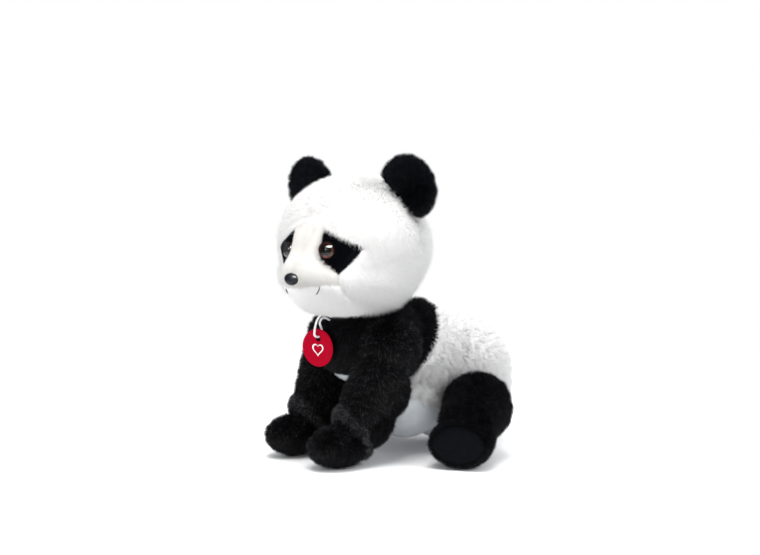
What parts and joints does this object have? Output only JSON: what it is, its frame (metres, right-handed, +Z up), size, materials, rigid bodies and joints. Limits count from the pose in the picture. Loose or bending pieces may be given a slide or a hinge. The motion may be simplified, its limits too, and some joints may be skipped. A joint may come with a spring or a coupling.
{
  "type": "plush panda",
  "caption": "Seated stuffed panda with a turned head, black yoke, ears, eye patches and legs, safety eyes, moulded nose and a round hang tag on a cord.",
  "frame": {"origin": "on the floor under the middle of the outline", "axes": "-Y is the way the body faces, +X the panda's own left, +Z up"},
  "size_m": [0.227, 0.2311, 0.2417],
  "materials": {
    "white_pile": "long plush pile",
    "white_smooth": "smooth short plush",
    "cream_short": "short plush",
    "white_short": "short plush",
    "black_pile": "medium plush pile",
    "black_brushed": "brushed plush",
    "sole_smooth": "smooth short plush",
    "patch_short": "very short plush",
    "ear_pile": "fluffy plush",
    "stuffing": "loose polyester fibre",
    "backing": "knit backing",
    "eye_clear": "clear, polished",
    "eye_brown": "painted",
    "eye_black": "polished",
    "washer": "natural nylon",
    "nose_plastic": "moulded, satin gloss",
    "thread": "thread",
    "tag_red": "coated card",
    "cord_white": "braided cord"
  },
  "bodies": {
    "torso": {"body_cover": "white_pile", "belly_panel": "white_smooth", "shoulder_yoke": "black_pile", "body_stuffing": "stuffing", "tail": "white_pile", "tag_cord": "cord_white"},
    "neck": {"neck_gather": "backing", "neck_disc": "backing"},
    "head": {"head_cover": "white_pile", "face_panel": "cream_short", "chin_panel": "white_short", "head_stuffing": "stuffing", "eye_patch_left": "patch_short", "eye_patch_right": "patch_short", "eye_cap_left": "eye_clear", "eye_cap_right": "eye_clear", "eye_iris_left": "eye_brown", "eye_iris_right": "eye_brown", "eye_back_left": "eye_black", "eye_back_right": "eye_black", "face_washers": "washer", "nose": "nose_plastic", "mouth_stitches": "thread"},
    "left_ear": {"ear_front_left": "ear_pile", "ear_back_left": "ear_pile"},
    "right_ear": {"ear_front_right": "ear_pile", "ear_back_right": "ear_pile"},
    "left_foreleg": {"front_leg_left": "black_pile", "front_paw_left": "black_brushed", "front_stuffing_left": "stuffing"},
    "right_foreleg": {"front_leg_right": "black_pile", "front_paw_right": "black_brushed", "front_stuffing_right": "stuffing"},
    "left_hindleg": {"rear_leg_left": "black_pile", "rear_foot_left": "black_brushed", "sole_left": "sole_smooth", "rear_stuffing_left": "stuffing"},
    "right_hindleg": {"rear_leg_right": "black_pile", "rear_foot_right": "black_brushed", "sole_right": "sole_smooth", "rear_stuffing_right": "stuffing"},
    "tag": {"tag_card": "tag_red"}
  },
  "joints": [
    {"name": "head_turn", "type": "hinge", "parent": "torso", "child": "neck", "pos_m": [0, -0.0424, 0.169], "axis": [0, 0, 1], "range_deg": [-20, 20], "stiffness_Nm_per_rad": 0.6},
    {"name": "head_nod", "type": "hinge", "parent": "neck", "child": "head", "pos_m": [0, -0.0424, 0.169], "axis": [0.9816, 0.1908, 0], "range_deg": [-12, 12], "stiffness_Nm_per_rad": 0.6},
    {"name": "left_ear_flop", "type": "hinge", "parent": "head", "child": "left_ear", "pos_m": [0.04263, -0.02596, 0.21094], "axis": [0.6364, 0.2655, -0.7242], "range_deg": [-18, 15], "stiffness_Nm_per_rad": 0.03},
    {"name": "right_ear_flop", "type": "hinge", "parent": "head", "child": "right_ear", "pos_m": [-0.04974, -0.04392, 0.20601], "axis": [0.6116, -0.0229, 0.7909], "range_deg": [-18, 15], "stiffness_Nm_per_rad": 0.03},
    {"name": "left_foreleg_swing", "type": "hinge", "parent": "torso", "child": "left_foreleg", "pos_m": [0.036, -0.0334, 0.09], "axis": [1, 0, 0], "range_deg": [-15, 8], "stiffness_Nm_per_rad": 1.5},
    {"name": "right_foreleg_swing", "type": "hinge", "parent": "torso", "child": "right_foreleg", "pos_m": [-0.036, -0.0334, 0.09], "axis": [1, 0, 0], "range_deg": [-15, 8], "stiffness_Nm_per_rad": 1.5},
    {"name": "left_hindleg_splay", "type": "hinge", "parent": "torso", "child": "left_hindleg", "pos_m": [0.05, 0.0446, 0.042], "axis": [0, 0, 1], "range_deg": [-10, 10], "stiffness_Nm_per_rad": 0.6},
    {"name": "right_hindleg_splay", "type": "hinge", "parent": "torso", "child": "right_hindleg", "pos_m": [-0.05, 0.0446, 0.042], "axis": [0, 0, 1], "range_deg": [-10, 10], "stiffness_Nm_per_rad": 0.6},
    {"name": "tag_swing", "type": "hinge", "parent": "torso", "child": "tag", "pos_m": [0, -0.0769, 0.0986], "axis": [0.9511, 0.309, 0], "range_deg": [-14, 4]}
  ]
}
